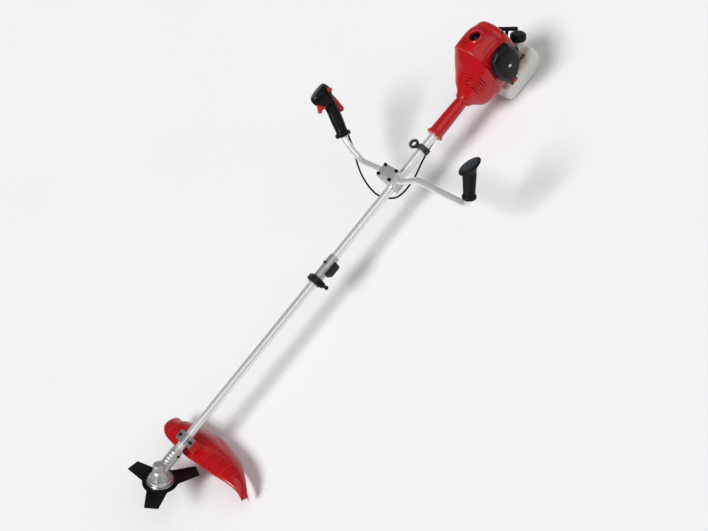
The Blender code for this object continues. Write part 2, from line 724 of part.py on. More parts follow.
def rotating_group(machine, shaft):
    """Crankshaft with its web and pin, and the flywheel that cools the engine."""
    journal = [(8.5, 183), (8.5, 198), (6, 200), (6, 246), (7.5, 246), (7.5, 264), (25, 264), (25, 274), (0, 274)]
    crank = piece("crankshaft", lathe([(0, 183)] + journal, 24), "bare_steel", shaft)
    pin_z = 15
    combine(crank, rod((270, 0, pin_z), (300, 0, pin_z), 5, 16), "UNION", machine)
    rear = [(0, 298), (25, 298), (25, 308), (7.5, 308), (7.5, 328), (5, 330), (5, 337), (0, 337)]
    combine(crank, lathe(rear, 24), "UNION")
    flywheel = [
        (6.3, 207), (14, 207), (16, 214), (46, 218), (46, 236), (42, 240), (6.3, 240),
    ]
    piece("flywheel_fan", lathe(flywheel, 28, True), "cast_aluminium", shaft)


def crankcase(machine):
    """Case round the crank, open at the top where the cylinder stands on it."""
    case = piece("crankcase", block((246.5, 324), (-34, 34), (-42, 36)), "cast_aluminium", machine)
    combine(case, rod((256, 0, 0), (316, 0, 0), 29, 28))
    combine(case, rod((CYLINDER_X, 0, 0), (CYLINDER_X, 0, 50), 18, 24))
    combine(case, rod((240, 0, 0), (330, 0, 0), 7.9, 16))


def cylinder(machine):
    """Finned barrel with a closed head and a hole for the spark plug."""
    seat = empty("cylinder_axis", machine, (CYLINDER_X, 0, 0))
    profile = [(17.6, 36.3), (31, 36.3), (31, 39)]
    for fin in range(5):
        low = 42 + fin * 9
        profile += [(21.5, low), (21.5, low + 5.5), (31, low + 5.5), (31, low + 9)]
    profile += [(24, 92), (7.5, 93), (7.5, 84), (17.6, 82)]
    piece("cylinder", lathe(profile, 18, True), "cast_aluminium", seat)
    crown = [(0, 76), (14.5, 76), (14.5, 56), (17, 56), (17, 80), (0, 80)]
    piston = piece("piston", lathe(crown, 24), "bare_steel", seat)
    combine(piston, rod((-25, 0, 64), (25, 0, 64), 4.3, 14))
    outline = [(-9, 15), (-6.4, 8.6), (0, 6), (6.4, 8.6), (9, 15), (6, 23), (4.5, 55), (7, 60), (7, 66), (4, 71)]
    outline += [(-4, 71), (-7, 66), (-7, 60), (-4.5, 55), (-6, 23)]
    link = piece("connecting_rod", along_x(outline, -5, 5), "bare_steel", seat)
    combine(link, rod((-20, 0, 15), (20, 0, 15), 5.3, 16))
    combine(link, rod((-20, 0, 64), (20, 0, 64), 4.3, 14))
    plug = [(6.8, 83), (6.8, 93.4), (10, 93.4), (10, 99), (6, 99), (5, 112), (2.5, 114), (2.5, 118)]
    piece("spark_plug", lathe(plug, 16), "white_ceramic", seat)
    boot = [(0, 119), (6.4, 119), (6.4, 100), (10.5, 100), (11, 126), (9, 135), (6, 137), (0, 137.5)]
    boot_piece = piece("spark_plug_boot", lathe(boot, 18), "black_rubber", seat)
    combine(boot_piece, rod((0, 3, 121), (6, 22, 121), 4.5, 12), "UNION")


def muffler_and_carburettor(machine):
    box = piece("muffler", block((256, 316), (33, 58), (42, 88)), "bare_steel", machine)
    combine(box, block((277, 295), (30.9, 33.5), (58, 74)), "UNION")
    combine(box, block((320, 300), (42, 54), (50, 58)))
    body = piece("carburettor", block((264, 308), (-54, -32), (42, 74)), "cast_aluminium", machine)
    combine(body, block((275, 297), (-32.5, -30.9), (46, 70)), "UNION")
    combine(body, rod((286, -66, 58), (286, -28, 58), 8, 16))


FILTER_OUTLINE = (
    (262, -24), (302, -22), (334, 8), (342, 30), (340, 72), (324, 102), (284, 106), (254, 92), (245, 62), (245, 20),
)


def air_filter(machine):
    """Base plate with a ring that guides the primer, foam element and domed cover, on the left of the engine."""
    base = piece("air_filter_base", along_y(FILTER_OUTLINE, -70, -66.4), "black_plastic", machine)
    combine(base, rod((286, -80, 58), (286, -60, 58), 10, 16))
    combine(base, block((272, 298), (-70, -66.4), (-50.5, -15)), "UNION")
    combine(base, block((272, 298), (-73, -67), (-50.5, -25.5)), "UNION")
    combine(base, rod((285, -76, -38), (285, -60, -38), 9.6, 32))
    foam = inset(FILTER_OUTLINE, 9)
    piece("air_filter_foam", along_y(foam, -80, -70.3), "filter_foam", machine)
    cover_seat = empty("air_filter_cover_axis", machine, (0, -70.3, 0))
    rings = []
    for wall, y in ((0, 0), (0, -10), (4, -18), (14, -23)):
        rings.append([(x, y, z) for x, z in inset(FILTER_OUTLINE, wall)])
    cover = piece("air_filter_cover", loft(rings), "black_plastic", cover_seat, 25)
    hollow = []
    for wall, y in ((3, 2), (3, -10), (8, -14)):
        hollow.append([(x, y, z) for x, z in inset(FILTER_OUTLINE, wall)])
    combine(cover, loft(hollow))


def choke_and_primer(machine):
    """Choke lever behind the filter and the fuel primer bulb under it."""
    seat = empty("choke_lever_axis", machine, (334, -65, -6), axes((0, -1, 0), (1, 0, 0)))
    outline = [(-5, -4), (3, -5), (24, -3), (26, 0), (24, 3), (3, 5), (-5, 4)]
    lever = piece("choke_lever", along_z(outline, 1.5, 5.0), "black_plastic", seat)
    combine(lever, rod((0, 0, -1.5), (0, 0, 3), 3, 12), "UNION")
    bulb_seat = empty("primer_bulb_axis", machine, (285, -70.3, -38), axes((0, -1, 0), (1, 0, 0)))
    dome = [(9, 0), (9, 3), (8, 7), (5, 10), (0, 11)]
    piece("primer_bulb", lathe(dome, 16), "red_plastic", bulb_seat)


def starter(machine, shaft):
    """Rear cover with a post for the rope pulley, and the pull handle on its rope guide."""
    stations = ((332.4, 0), (344, 2), (354, 9), (359, 18))
    base = cowl_outline(-63, 69, -52, 122)
    outer = [[(x, y, z) for y, z in inset(base, wall)] for x, wall in stations]
    cover = piece("starter_housing", loft(outer), "red_plastic", machine, 30)
    inner = [[(x, y, z) for y, z in inset(base, wall)] for x, wall in ((331, 3), (344, 5), (352, 12))]
    combine(cover, loft(inner))
    combine(cover, rod((339, 0, 0), (356, 0, 0), 5, 16), "UNION")
    combine(cover, rod((357, 0, 9.2), (366, 0, 21.2), 7, 12), "UNION")
    combine(cover, rod((342, 0, -10.8), (372, 0, 29.2), 2.4, 10))
    pulley = [(5.3, 340), (30, 340), (30, 342), (26, 344), (26, 347), (30, 349), (30, 351), (5.3, 351)]
    piece("starter_pulley", lathe(pulley, 24, True), "black_plastic", shaft)
    pull = Vector((0.6, 0, 0.8))
    seat = empty("starter_handle_axis", machine, (366.3, 0, 21.6), axes(pull, (0.66, -0.565, -0.497)))
    handle = piece("starter_handle", rod((-33, 0, 35), (33, 0, 35), 7, 14), "black_plastic", seat)
    combine(handle, lathe([(6.2, 0.2), (5, 8), (5.5, 32)], 14), "UNION")


TANK_OUTLINE = (
    (266, -135), (372, -135), (396, -124), (411, -104), (416, -80), (411, -58), (399, -40), (378, -46),
    (369, -60), (356, -66), (280, -65), (258, -72), (250, -88), (250, -118),
)


def fuel_tank(machine):
    """Blow-moulded tank that wraps under and behind the engine, with a slanted neck."""
    outer = []
    inner = []
    for y, wall in ((-50, 12), (-47, 5), (-40, 0), (40, 0), (47, 5), (50, 12)):
        outer.append([(x, y, z) for x, z in inset(TANK_OUTLINE, wall)])
    for y, wall in ((-47, 14), (-40, TANK_WALL), (40, TANK_WALL), (47, 14)):
        inner.append([(x, y, z) for x, z in inset(TANK_OUTLINE, wall)])
    axis = Vector((0.5, 0, 0.866))
    mouth = Vector((402, 0, -19))
    tank = piece("fuel_tank", loft(outer), "tank_plastic", machine, 30)
    combine(tank, rod(mouth - axis * 36, mouth + axis * 8, 18, 20), "UNION")
    combine(tank, loft(inner))
    combine(tank, rod(mouth - axis * 42, mouth + axis * 12, 15, 20))
    seat = empty("fuel_cap_axis", machine, mouth, axes(axis, (0, 1, 0)))
    cap = [(0, 9), (18.4, 9), (18.4, -3), (25, -3), (25.4, 0), (25.4, 13), (23, 17), (0, 17.5)]
    piece("fuel_cap", lathe(cap, 22), "black_plastic", seat)


def build():
    for thing in list(bpy.data.objects):
        bpy.data.objects.remove(thing)
    machine = empty("machine", None, (-REST_FACE_X, 0, SHAFT_HEIGHT))
    shaft = empty("shaft_axis", machine, (0, 0, 0), axes((1, 0, 0), (0, 0, -1)))
    tilt = Matrix.Rotation(math.radians(HEAD_TILT), 3, "Y")
    head = empty("blade_axis", machine, (HEAD_X, 0, 0), tilt)
    guard = empty("guard_frame", head, (0, 0, BLADE_Z))
    cutting_blade(head)
    blade_holders(head)
    output_train(head)
    gear_case(head, shaft)
    input_train(shaft)
    debris_guard(guard)
    guard_bracket(machine)
    tube("lower_tube", shaft, HEAD_X + 35, SPLIT_X)
    tube("upper_tube", shaft, SPLIT_X + GAP, TUBE_REAR_X)
    drive_shafts(shaft)
    coupling(machine, shaft)
    coupling_knob(machine)
    locking_pin(machine)
    plane = bar_plane(machine)
    handlebar(plane)
    handlebar_clamp(machine)
    left_grip(plane)
    grip = right_grip_frame(plane)
    right_grip(grip)
    throttle_trigger(grip)
    throttle_lock(grip)
    stop_switch(grip)
    throttle_cable(machine)
    harness_lug(machine, shaft)
    rear_grip(shaft)
    engine_cowl(machine)
    clutch(shaft)
    rotating_group(machine, shaft)
    crankcase(machine)
    cylinder(machine)
    muffler_and_carburettor(machine)
    air_filter(machine)
    choke_and_primer(machine)
    starter(machine, shaft)
    fuel_tank(machine)


build()
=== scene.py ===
"""Looks of the brush cutter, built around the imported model.

Lengths are in millimetres in the machine's own frame, as in the part's source:
origin on the shaft axis at the front of the rear grip, +X towards the engine, +Z up.
"""
import json
import math

import bmesh
import bpy
from mathutils import Matrix, Vector
from mathutils.bvhtree import BVHTree


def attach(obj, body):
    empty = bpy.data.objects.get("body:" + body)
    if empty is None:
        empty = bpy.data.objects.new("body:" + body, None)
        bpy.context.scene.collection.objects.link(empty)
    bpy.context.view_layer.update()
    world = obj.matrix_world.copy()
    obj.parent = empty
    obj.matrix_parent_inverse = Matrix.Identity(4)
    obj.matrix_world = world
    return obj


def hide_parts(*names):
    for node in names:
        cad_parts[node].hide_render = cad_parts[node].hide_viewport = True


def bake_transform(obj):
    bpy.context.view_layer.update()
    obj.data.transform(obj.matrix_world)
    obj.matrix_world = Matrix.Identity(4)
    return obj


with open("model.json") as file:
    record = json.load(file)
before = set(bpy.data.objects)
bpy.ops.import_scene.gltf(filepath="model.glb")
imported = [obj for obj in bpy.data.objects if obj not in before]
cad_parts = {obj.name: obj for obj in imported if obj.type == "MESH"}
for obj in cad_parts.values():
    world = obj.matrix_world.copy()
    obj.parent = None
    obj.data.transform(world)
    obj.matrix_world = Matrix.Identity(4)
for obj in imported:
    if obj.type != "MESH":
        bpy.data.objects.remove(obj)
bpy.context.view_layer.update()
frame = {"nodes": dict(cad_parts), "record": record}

MM = 0.001
MACHINE = Vector((-318.0, 0.0, 135.0))
HEAD_X = -1281.0
HEAD_TILT = math.radians(34.7)
BLADE_Z = -35.0
BAR_LEAN = math.radians(35.0)


# Frames -----------------------------------------------------------------------

def axes(z, x):
    """Rotation whose Z is z and whose X is as near to x as it can be."""
    up = Vector(z).normalized()
    side = up.cross(Vector(x)).normalized()
    return Matrix((side.cross(up), side, up)).transposed()


def frame_at(origin, turn=None):
    """Matrix from a local frame in millimetres to the machine's."""
    return Matrix.Translation(Vector(origin)) @ (turn or Matrix.Identity(3)).to_4x4()


IN_MACHINE = frame_at((0, 0, 0))
IN_SHAFT = frame_at((0, 0, 0), axes((1, 0, 0), (0, 0, -1)))
IN_HEAD = frame_at((HEAD_X, 0, 0), Matrix.Rotation(HEAD_TILT, 3, "Y"))
IN_GUARD = IN_HEAD @ frame_at((0, 0, BLADE_Z))
BAR_UP = Vector((math.sin(BAR_LEAN), 0, math.cos(BAR_LEAN)))
BAR_SIDE = Vector((0, 1, 0))
IN_BAR = frame_at((-182, 0, 45), Matrix((BAR_SIDE, BAR_UP, BAR_SIDE.cross(BAR_UP))).transposed())
IN_LEFT_GRIP = IN_BAR @ frame_at((-335.1, 77, 0), axes((4.1, 94, 0), (0, 0, 1)))
IN_RIGHT_GRIP = IN_BAR @ frame_at((214, 43, 0), axes((56.3, 76, 0), (0, 0, -1)))
PULL = Vector((0.6, 0, 0.8))
IN_PULL = frame_at((366.3, 0, 21.6), axes(PULL, (0.66, -0.565, -0.497)))
CAP_AXIS = Vector((0.5, 0, 0.866))
IN_CAP = frame_at((402, 0, -19), axes(CAP_AXIS, (0, 1, 0)))


# Camera -----------------------------------------------------------------------

def make_camera():
    """Camera placed as the photo was taken."""
    data = bpy.data.cameras.new("camera")
    data.sensor_width = 36.0
    data.lens = 72.9
    camera = bpy.data.objects.new("camera", data)
    bpy.context.scene.collection.objects.link(camera)
    right = Vector((0.62655, -0.64423, -0.43868))
    up = Vector((0.77164, 0.43442, 0.46518))
    back = Vector((-0.10887, -0.62935, 0.76952))
    turn = Matrix((right, up, back)).transposed().to_4x4()
    camera.matrix_world = Matrix.Translation((-1.235, -2.723, 3.367)) @ turn
    bpy.context.scene.camera = camera


make_camera()


# Materials --------------------------------------------------------------------

SPECULAR = ((0.5, 0.5), (0.1, 0.34), (-1, 0.16))  # brightness above which a surface reflects this much


def shade(name, colour, roughness, metallic=0.0, grain=900.0, bump=0.06, mottle=0.08,
          wear=None, coat=0.0, transmission=0.0, subsurface=0.0, stretch=(1, 1, 1), sheen=0.0):
    """Procedural surface: mottled colour, broken roughness, fine grain and lighter worn edges."""
    made = bpy.data.materials.new(name)
    made.use_nodes = True
    tree = made.node_tree
    new = tree.nodes.new
    link = tree.links.new
    shader = tree.nodes["Principled BSDF"]
    place = new("ShaderNodeTexCoord")
    scale = new("ShaderNodeMapping")
    scale.inputs["Scale"].default_value = stretch
    link(place.outputs["Object"], scale.inputs["Vector"])
    cloud = new("ShaderNodeTexNoise")
    cloud.inputs["Scale"].default_value = grain * 0.05
    cloud.inputs["Detail"].default_value = 5.0
    link(scale.outputs["Vector"], cloud.inputs["Vector"])
    fine = new("ShaderNodeTexNoise")
    fine.inputs["Scale"].default_value = grain
    fine.inputs["Detail"].default_value = 3.0
    link(scale.outputs["Vector"], fine.inputs["Vector"])
    ramp = new("ShaderNodeValToRGB")
    low, high = ramp.color_ramp.elements
    low.position, high.position = 0.3, 0.7
    low.color = (*(c * (1 - mottle) for c in colour), 1)
    high.color = (*(min(1.0, c * (1 + mottle)) for c in colour), 1)
    link(cloud.outputs["Fac"], ramp.inputs["Fac"])
    paint = ramp.outputs["Color"]
    if wear:
        edge = new("ShaderNodeNewGeometry")
        sharp = new("ShaderNodeMapRange")
        sharp.inputs["From Min"].default_value = 0.53
        sharp.inputs["From Max"].default_value = 0.62
        link(edge.outputs["Pointiness"], sharp.inputs["Value"])
        rubbed = new("ShaderNodeMath")
        rubbed.operation = "MULTIPLY"
        link(sharp.outputs["Result"], rubbed.inputs[0])
        link(fine.outputs["Fac"], rubbed.inputs[1])
        mix = new("ShaderNodeMix")
        mix.data_type = "RGBA"
        mix.inputs["B"].default_value = (*wear, 1)
        link(rubbed.outputs["Value"], mix.inputs["Factor"])
        link(paint, mix.inputs["A"])
        paint = mix.outputs["Result"]
    link(paint, shader.inputs["Base Color"])
    gloss = new("ShaderNodeMapRange")
    gloss.inputs["To Min"].default_value = roughness * 0.85
    gloss.inputs["To Max"].default_value = min(1.0, roughness * 1.2)
    link(cloud.outputs["Fac"], gloss.inputs["Value"])
    link(gloss.outputs["Result"], shader.inputs["Roughness"])
    relief = new("ShaderNodeBump")
    relief.inputs["Strength"].default_value = bump
    relief.inputs["Distance"].default_value = 0.0004
    link(fine.outputs["Fac"], relief.inputs["Height"])
    link(relief.outputs["Normal"], shader.inputs["Normal"])
    shader.inputs["Metallic"].default_value = metallic
    shader.inputs["Specular IOR Level"].default_value = next(level for top, level in SPECULAR if max(colour) > top)
    shader.inputs["Coat Weight"].default_value = coat
    shader.inputs["Coat Roughness"].default_value = 0.12
    shader.inputs["Transmission Weight"].default_value = transmission
    shader.inputs["Subsurface Weight"].default_value = subsurface
    shader.inputs["Subsurface Radius"].default_value = (0.02, 0.02, 0.02)
    shader.inputs["Sheen Weight"].default_value = sheen
    return made


LOOKS = {
    "red_plastic": shade(
        "look_red", (0.45, 0.0015, 0.005), 0.24, bump=0.03, mottle=0.06, coat=0.22, wear=(0.75, 0.06, 0.05)),
    # Darker copy of the cowl red: painted shade, used for the seam line on the cowl.
    "red_painted_shade": shade("look_red_painted_shade", (0.16, 0.001, 0.003), 0.34, bump=0.05, coat=0.15),
    "black_plastic": shade(
        "look_black", (0.0035, 0.004, 0.005), 0.30, grain=1400, bump=0.15, mottle=0.2, wear=(0.03, 0.03, 0.033)),
    "black_rubber": shade("look_rubber", (0.004, 0.005, 0.0065), 0.5, grain=1600, bump=0.2, mottle=0.2),
    "black_steel": shade(
        "look_black_steel", (0.003, 0.003, 0.004), 0.30, grain=1200, bump=0.12, mottle=0.2,
        wear=(0.12, 0.12, 0.125)),
    "bare_steel": shade(
        "look_steel", (0.60, 0.60, 0.61), 0.26, 1.0, grain=500, bump=0.05, stretch=(1, 1, 8),
        wear=(0.85, 0.85, 0.86)),
    "anodised_tube": shade(
        "look_tube", (0.88, 0.88, 0.89), 0.30, 0.70, grain=700, bump=0.04, mottle=0.03, stretch=(0.04, 1, 1)),
    "cast_aluminium": shade(
        "look_cast", (0.50, 0.49, 0.48), 0.42, 0.75, grain=1100, bump=0.35, mottle=0.07, wear=(0.82, 0.8, 0.79)),
    "tank_plastic": shade(
        "look_tank", (0.88, 0.87, 0.83), 0.34, bump=0.06, mottle=0.02, transmission=0.15, subsurface=0.35),
    "filter_foam": shade("look_foam", (0.04, 0.04, 0.045), 0.95, grain=2200, bump=0.9, mottle=0.4, sheen=0.3),
    "white_ceramic": shade("look_ceramic", (0.86, 0.85, 0.81), 0.2, bump=0.02, mottle=0.03, coat=0.5),
    "grey_panel": shade("look_panel", (0.022, 0.03, 0.04), 0.42, grain=1500, bump=0.25, mottle=0.15),
    "emblem_white": shade("look_emblem", (0.75, 0.75, 0.75), 0.4, bump=0.02),
}


# Mesh helpers -----------------------------------------------------------------

def spline(points, steps, closed=False):
    """Catmull-Rom curve through points of any size, as tuples."""
    count = len(points)
    spans = count if closed else count - 1
    found = []
    for index in range(spans):
        if closed:
            four = [points[(index + k) % count] for k in (-1, 0, 1, 2)]
        else:
            four = [points[min(max(index + k, 0), count - 1)] for k in (-1, 0, 1, 2)]
        for step in range(steps):
            t = step / steps
            row = []
            for a, b, c, d in zip(*four):
                row.append(0.5 * (
                    2 * b + (c - a) * t + (2 * a - 5 * b + 4 * c - d) * t * t + (3 * b - 3 * c + d - a) * t ** 3
                ))
            found.append(tuple(row))
    if not closed:
        found.append(tuple(points[-1]))
    return found


def skin(rings, closed=False, caps=True):
    """Surface through rings of points; a ring of one point is a tip."""
    bm = bmesh.new()
    made = [[bm.verts.new(p) for p in ring] for ring in rings]
    pairs = list(zip(made, made[1:])) + ([(made[-1], made[0])] if closed else [])
    for low, high in pairs:
        count = max(len(low), len(high))
        for step in range(count):
            after = (step + 1) % count
            if len(low) == 1:
                bm.faces.new((low[0], high[step], high[after]))
            elif len(high) == 1:
                bm.faces.new((low[step], high[0], low[after]))
            else:
                bm.faces.new((low[step], high[step], high[after], low[after]))
    if caps and not closed:
        for ring in (made[0], made[-1]):
            if len(ring) > 1:
                bm.faces.new(ring)
    return bm


def circle(radius, steps, height=0.0, lobes=0, depth=0.0):
    """Ring of points, waved by lobes of some depth."""
    ring = []
    for step in range(steps):
        angle = step * math.tau / steps
        reach = radius + depth * math.cos(lobes * angle)
        ring.append((reach * math.cos(angle), reach * math.sin(angle), height))
    return ring


def turned(profile, steps=48, closed=False):
    """Lathe of (radius, height) pairs round Z."""
    rings = []
    for radius, height in profile:
        rings.append([(0, 0, height)] if radius < 0.01 else circle(radius, steps, height))
    return skin(rings, closed)


def prism(outline, low, high):
    return skin([[(x, y, low) for x, y in outline], [(x, y, high) for x, y in outline]])


def slab(x, y, z):
    return prism([(x[0], y[0]), (x[1], y[0]), (x[1], y[1]), (x[0], y[1])], *z)


def bar(start, end, radius, steps=16):
    axis = Vector(end) - Vector(start)
    side = (0, 0, 1) if abs(axis.normalized().z) < 0.9 else (1, 0, 0)
    bm = turned([(radius, 0), (radius, axis.length)], steps)
    bmesh.ops.transform(bm, matrix=frame_at(start, axes(axis, side)), verts=bm.verts)
    return bm


def finish_mesh(name, bm, local):
    bmesh.ops.recalc_face_normals(bm, faces=bm.faces)
    bmesh.ops.transform(bm, matrix=Matrix.Translation(MACHINE) @ local, verts=bm.verts)
    bmesh.ops.scale(bm, vec=(MM, MM, MM), verts=bm.verts)
    mesh = bpy.data.meshes.new(name)
    bm.to_mesh(mesh)
    bm.free()
    return mesh


def add(name, bm, look, body, local=IN_MACHINE, bevel=0.0, nodes=(), sharp=35, cuts=()):
    """A visible piece: mesh, cuts, rounded edges, material, body and the nodes it stands for."""
    made = bpy.data.objects.new(name, finish_mesh(name, bm, local))
    bpy.context.scene.collection.objects.link(made)
    for index, cut in enumerate(cuts):
        tool = bpy.data.objects.new(f"{name}_cut_{index}", finish_mesh("cut", cut, local))
        bpy.context.scene.collection.objects.link(tool)
        step = made.modifiers.new("cut", "BOOLEAN")
        step.operation = "DIFFERENCE"
        step.solver = "EXACT"
        step.use_self = True
        step.object = tool
        settle(made)
        bpy.data.objects.remove(tool)
    if bevel:
        soften(made, bevel)
    made.data.materials.clear()
    made.data.materials.append(LOOKS[look])
    made.data.shade_smooth()
    made.data.set_sharp_from_angle(angle=math.radians(sharp))
    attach(made, body)
    if nodes:
        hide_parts(*nodes)
    return made


def settle(made):
    """Replace a piece's mesh with what its modifiers give."""
    depsgraph = bpy.context.evaluated_depsgraph_get()
    mesh = bpy.data.meshes.new_from_object(made.evaluated_get(depsgraph))
    made.modifiers.clear()
    made.data = mesh


def soften(made, width, angle=30):
    step = made.modifiers.new("soft_edges", "BEVEL")
    step.width = width * MM
    step.segments = 3
    step.limit_method = "ANGLE"
    step.angle_limit = math.radians(angle)
    step.harden_normals = True


def tree_of(made):
    mesh = made.data
    return BVHTree.FromPolygons([v.co.copy() for v in mesh.vertices], [tuple(p.vertices) for p in mesh.polygons])


def on_surface(tree, point):
    """Nearest point of a piece and its normal, in machine millimetres."""
    found, normal, _, _ = tree.find_nearest((Vector(point) + MACHINE) * MM)
    return found / MM - MACHINE, normal


def strip(name, tree, points, width, height, look, body, steps=8):
    """Low rounded ridge that follows a surface."""
    rings = []
    route = spline([tuple(p) for p in points], steps)
    for index, point in enumerate(route):
        ahead = Vector(route[min(index + 1, len(route) - 1)]) - Vector(route[max(index - 1, 0)])
        spot, normal = on_surface(tree, point)
        across = normal.cross(ahead).normalized()
        taper = min(1.0, 0.3 + index, 0.3 + len(route) - 1 - index)
        ring = []
        for step in range(10):
            angle = step * math.tau / 10
            reach = across * (width / 2 * taper * math.cos(angle))
            ring.append(spot + reach + normal * (height * taper * math.sin(angle)))
        rings.append(ring)
    return add(name, skin(rings), look, body, sharp=60)


def tube_rings(route, radii, side, steps):
    """Rings along a polyline, with the radii taken in turn."""
    side = Vector(side)
    rings = []
    for index, point in enumerate(route):
        ahead = (route[min(index + 1, len(route) - 1)] - route[max(index - 1, 0)]).normalized()
        side = (side - ahead * side.dot(ahead)).normalized()
        other = ahead.cross(side)
        radius = radii[index % len(radii)]
        ring = []
        for step in range(steps):
            angle = step * math.tau / steps
            ring.append(point + side * radius * math.cos(angle) + other * radius * math.sin(angle))
        rings.append(ring)
    return rings


def hex_screw(name, spot, axis, radius, body, local=IN_MACHINE, height=5.0):
    """Cap screw head with a hexagonal socket, standing at spot along axis."""
    side = (0, 0, 1) if abs(Vector(axis).normalized().z) < 0.9 else (1, 0, 0)
    profile = [(radius * 1.35, 0), (radius * 1.35, 0.8), (radius, 0.9), (radius, height), (radius * 0.88, height + 0.5)]
    socket = turned([(radius * 0.55, height * 0.4), (radius * 0.55, height + 3)], 6)
    place = local @ frame_at(spot, axes(axis, side))
    return add(name, turned(profile, 30), "black_steel", body, place, 0.2, cuts=[socket])


# Studio -----------------------------------------------------------------------

FLOOR_HALF = 9
SUNS = (("key", (-3.2, -0.2, 4.0), 22, 2.35), ("fill", (1.6, -2.8, 4.2), 60, 0.75))  # name, place, spread, power


def studio():
    """White floor, dim sky and two suns aimed at the middle of the machine."""
    floor_mesh = bpy.data.meshes.new("floor")
    corners = [(x * FLOOR_HALF, y * FLOOR_HALF, 0) for x, y in ((-1, -1), (1, -1), (1, 1), (-1, 1))]
    floor_mesh.from_pydata(corners, [], [(0, 1, 2, 3)])
    floor = bpy.data.objects.new("floor", floor_mesh)
    floor.location.z = -0.0005
    bpy.context.scene.collection.objects.link(floor)
    floor_mesh.materials.append(shade("look_floor", (0.90, 0.90, 0.90), 0.8, grain=30, bump=0.0, mottle=0.005))
    world = bpy.data.worlds.new("studio")
    world.use_nodes = True
    world.node_tree.nodes["Background"].inputs["Color"].default_value = (0.96, 0.98, 1.0, 1)
    world.node_tree.nodes["Background"].inputs["Strength"].default_value = 0.20
    bpy.context.scene.world = world
    bpy.context.scene.view_settings.view_transform = "Standard"
    aim = Vector((-0.7, 0, 0.1))
    for name, spot, spread, power in SUNS:
        data = bpy.data.lights.new(name, "SUN")
        data.angle = math.radians(spread)
        data.energy = power
        lamp = bpy.data.objects.new(name, data)
        lamp.location = spot
        lamp.rotation_euler = (aim - Vector(spot)).to_track_quat("-Z", "Y").to_euler()
        bpy.context.scene.collection.objects.link(lamp)


studio()


# Throttle cable, made before the rest ------------------------------------------

CABLE_ROUTE = (
    (-146.4, 210, 66), (-150, 205.5, 61), (-156.6, 198, 52), (-166, 184, 42), (-178, 171, 33),
    (-189, 160, 23), (-201, 147, 12), (-215, 126, 0), (-227, 100, -10), (-236, 68, -18), (-238, 36, -23),
    (-229, 6, -26), (-214, -16, -27), (-192, -25, -27), (-165, -27, -26), (-132, -24, -24.5),
    (-106, -18, -22.5), (-80, -11, -21), (-62, -7, -20.6), (-42, -3, -20.4), (-24, -1, -18.6), (-8, 0, -17.2),
    (1.6, 0, -17),
)
CABLE_R = 3.0
CABLE_GROOVE = 0.35


def resampled(route, spacing):
    """Points a fixed distance apart along a dense polyline."""
    found = [Vector(route[0])]
    for point in route[1:]:
        point = Vector(point)
        while (point - found[-1]).length > spacing:
            found.append(found[-1] + (point - found[-1]).normalized() * spacing)
    found.append(Vector(route[-1]))
    return found


def throttle_cable():
    """Corrugated sleeve: every other ring stands a little proud."""
    route = resampled(spline(CABLE_ROUTE, 16), 1.6)
    rings = tube_rings(route, (CABLE_R - CABLE_GROOVE, CABLE_R), (0, 0, 1), 14)
    made = add("throttle_cable_sleeve", skin(rings), "black_rubber", "machine", nodes=["throttle_cable"], sharp=60)


throttle_cable()


# CAD nodes that keep their shape ----------------------------------------------

SOFT_NODES = {
    "bar_clamp_base": 1.2, "bar_clamp_cap": 1.4, "guard_clamp_lower": 0.8, "guard_clamp_upper": 0.5,
    "harness_lug": 0.6, "choke_lever": 0.6, "throttle_trigger": 0.9, "throttle_lock": 0.9, "stop_switch": 0.8,
    "blade_nut": 0.5, "locking_pin": 0.3, "crankcase": 1.0, "carburettor": 0.8, "muffler": 1.5, "air_filter_base": 0.6,
}
for node, made in frame["nodes"].items():
    slot = next(s["material_slot"] for s in frame["record"]["subparts"] if s["node"] == node)
    made.data.materials.clear()
    made.data.materials.append(LOOKS[slot])
    if node in SOFT_NODES:
        soften(made, SOFT_NODES[node])


# Engine cowl ------------------------------------------------------------------

COWL_SHAPE = (
    (-0.45, 0.0), (0.45, 0.0), (0.82, 0.06), (1.0, 0.25), (1.0, 0.62), (0.84, 0.88), (0.5, 1.0),
    (-0.1, 1.0), (-0.55, 0.92), (-0.86, 0.78), (-1.0, 0.58), (-1.0, 0.26), (-0.84, 0.07),
)
COWL_STATIONS = (
    (138, -21, 21, -21, 21), (152, -29, 26, -27, 30), (170, -48, 44, -43.5, 48), (190, -60, 54, -47, 70),
    (214, -68, 64, -50, 103), (234, -71, 70, -53, 127), (243, -66, 72, -53, 133), (300, -66, 72, -53, 133),
    (332, -63, 69, -52, 122),
)
COWL_WALL = 3.0
STARTER_SIDES = (-63, 69, -52, 122)


def cowl_ring(left, right, low, high, wall=0.0):
    middle = (left + right) / 2
    half = (right - left) / 2 - wall
    shape = spline(COWL_SHAPE, 7, True)
    return [(middle + u * half, low + wall + v * (high - low - 2 * wall)) for u, v in shape]


def slot_tool(tree, start, end, width, depth=9.0):
    """Rounded slot cutter between two points of a surface."""
    a, normal_a = on_surface(tree, start)
    b, normal_b = on_surface(tree, end)
    normal = (normal_a + normal_b).normalized()
    turn = axes(normal, b - a)
    half = (b - a).length / 2
    outline = []
    for step in range(20):
        angle = step * math.tau / 20
        shift = half if math.cos(angle) > 0 else -half
        outline.append((shift + width / 2 * math.cos(angle), width / 2 * math.sin(angle)))
    bm = prism(outline, -depth, depth)
    bmesh.ops.transform(bm, matrix=frame_at((a + b) / 2, turn), verts=bm.verts)
    return bm


def merged(shapes):
    whole = bmesh.new()
    for shape in shapes:
        mesh = bpy.data.meshes.new("part")
        bmesh.ops.recalc_face_normals(shape, faces=shape.faces)
        shape.to_mesh(mesh)
        whole.from_mesh(mesh)
        shape.free()
        bpy.data.meshes.remove(mesh)
    return whole


def between(a, b, t):
    return Vector(a).lerp(Vector(b), t)


